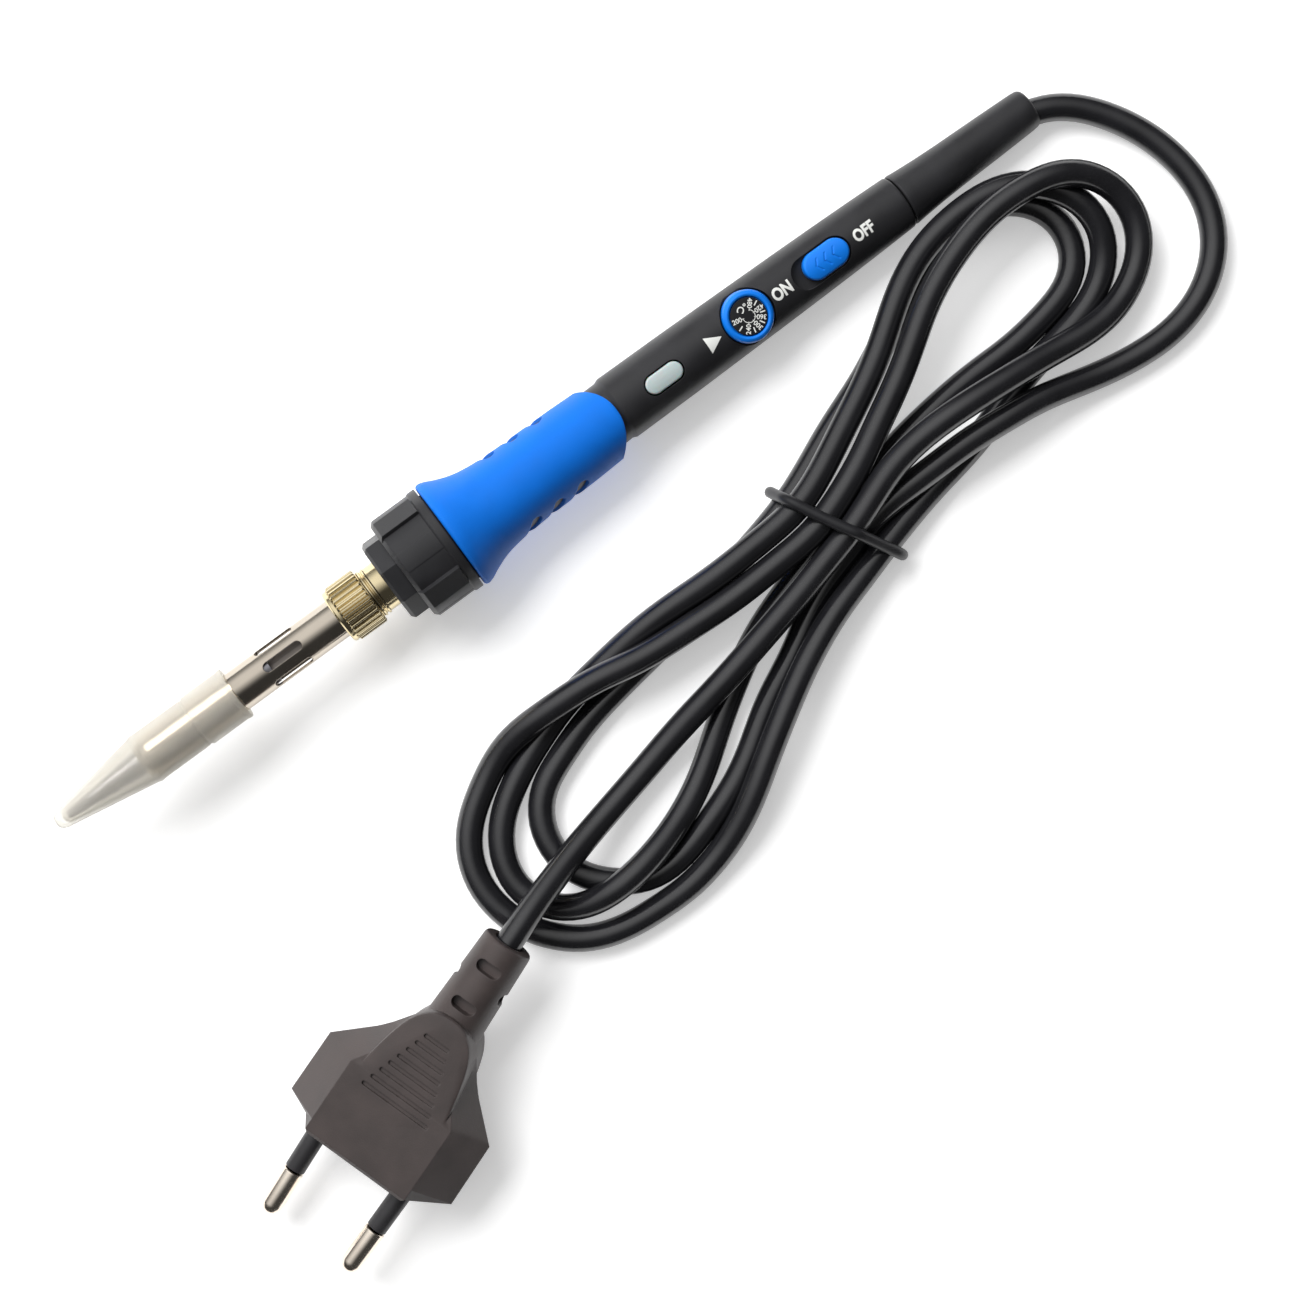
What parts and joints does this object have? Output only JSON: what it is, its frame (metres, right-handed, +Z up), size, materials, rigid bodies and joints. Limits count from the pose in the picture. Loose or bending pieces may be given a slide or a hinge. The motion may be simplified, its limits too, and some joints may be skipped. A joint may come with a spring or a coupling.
{
  "type": "soldering iron",
  "caption": "Pencil soldering iron with a frosted tip cap, blue grip, temperature dial, slide switch and a tied black cord ending in a flat two-pin plug.",
  "frame": {"origin": "bottom centre of the iron without its cord: on the table plane, under the middle of the iron's length", "axes": "+X along the table from the tip cap to the cord end, +Y across to the iron's left, +Z up"},
  "size_m": [0.2475, 0.1063, 0.0217],
  "materials": {
    "frosted_cap": "frosted, translucent",
    "plated_bit": "tinned tip, satin plated shank",
    "polished_steel": "polished tube",
    "plated_brass": "bright, lightly plated",
    "alumina": "matte",
    "black_plastic": "satin, fine grain",
    "blue_rubber": "matte, soft",
    "blue_plastic": "satin",
    "dial_black": "satin, white marks",
    "lens_plastic": "milky, translucent",
    "board_green": "satin",
    "component_black": "satin",
    "capacitor_brown": "dipped",
    "wire_metal": "bare wire",
    "clamp_steel": "satin",
    "cord_black": "satin jacket",
    "tie_black": "satin",
    "plug_charcoal": "satin moulding",
    "sleeve_black": "satin",
    "pin_metal": "nickel-plated brass"
  },
  "bodies": {
    "handle": {"grip_sleeve": "blue_rubber", "handle_tube": "black_plastic", "rear_cap": "black_plastic", "indicator_lens": "lens_plastic", "circuit_board": "board_green", "potentiometer": "component_black", "switch_body": "component_black", "indicator_led": "lens_plastic", "triac": "component_black", "timing_capacitor": "capacitor_brown", "drop_resistor": "alumina", "heater_lead_left": "wire_metal", "heater_lead_right": "wire_metal", "mains_lead_left": "wire_metal", "mains_lead_right": "wire_metal", "cord_clamp": "clamp_steel", "cord_lead": "cord_black", "cord_hank": "cord_black", "cord_tail": "cord_black", "cord_tie": "tie_black", "plug_body": "plug_charcoal", "pin_sleeve_left": "sleeve_black", "pin_sleeve_right": "sleeve_black", "plug_pin_left": "pin_metal", "plug_pin_right": "pin_metal"},
    "heater_unit": {"nose_piece": "black_plastic", "threaded_bush": "plated_brass", "heater_core": "alumina", "heater_base": "alumina", "soldering_bit": "plated_bit"},
    "collar": {"locking_collar": "black_plastic"},
    "barrel": {"barrel_sleeve": "polished_steel"},
    "nut": {"barrel_nut": "plated_brass"},
    "cap": {"tip_cap": "frosted_cap"},
    "dial": {"temperature_dial": "blue_plastic", "dial_face": "dial_black"},
    "slider": {"switch_slider": "blue_plastic"}
  },
  "joints": [
    {"name": "collar_turn", "type": "hinge", "parent": "heater_unit", "child": "collar", "pos_m": [-0.02755, 0, 0.01111], "axis": [-0.9985, 0, 0.0541], "range_deg": [0, 720]},
    {"name": "heater_draw", "type": "slide", "parent": "handle", "child": "heater_unit", "axis": [-0.9985, 0, 0.0541], "range_m": [0, 0.003]},
    {"name": "nut_turn", "type": "hinge", "parent": "barrel", "child": "nut", "pos_m": [-0.04353, 0, 0.01198], "axis": [-0.9985, 0, 0.0541], "range_deg": [0, 1440]},
    {"name": "barrel_draw", "type": "slide", "parent": "heater_unit", "child": "barrel", "axis": [-0.9985, 0, 0.0541], "range_m": [0, 0.0036]},
    {"name": "cap_pull", "type": "slide", "parent": "barrel", "child": "cap", "axis": [-0.9985, 0, 0.0541], "range_m": [0, 0.04]},
    {"name": "dial_turn", "type": "hinge", "parent": "handle", "child": "dial", "pos_m": [0.04304, 0.00085, 0.00729], "axis": [-0.0531, 0.1908, -0.9802], "range_deg": [-11, 233]},
    {"name": "switch_slide", "type": "slide", "parent": "handle", "child": "slider", "axis": [-0.9985, 0, 0.0541], "range_m": [0, 0.002]}
  ],
  "couplings": [
    {"joint": "collar_turn", "follows": "heater_draw", "rad_per_m": 4188.7},
    {"joint": "nut_turn", "follows": "barrel_draw", "rad_per_m": 6981.2}
  ]
}
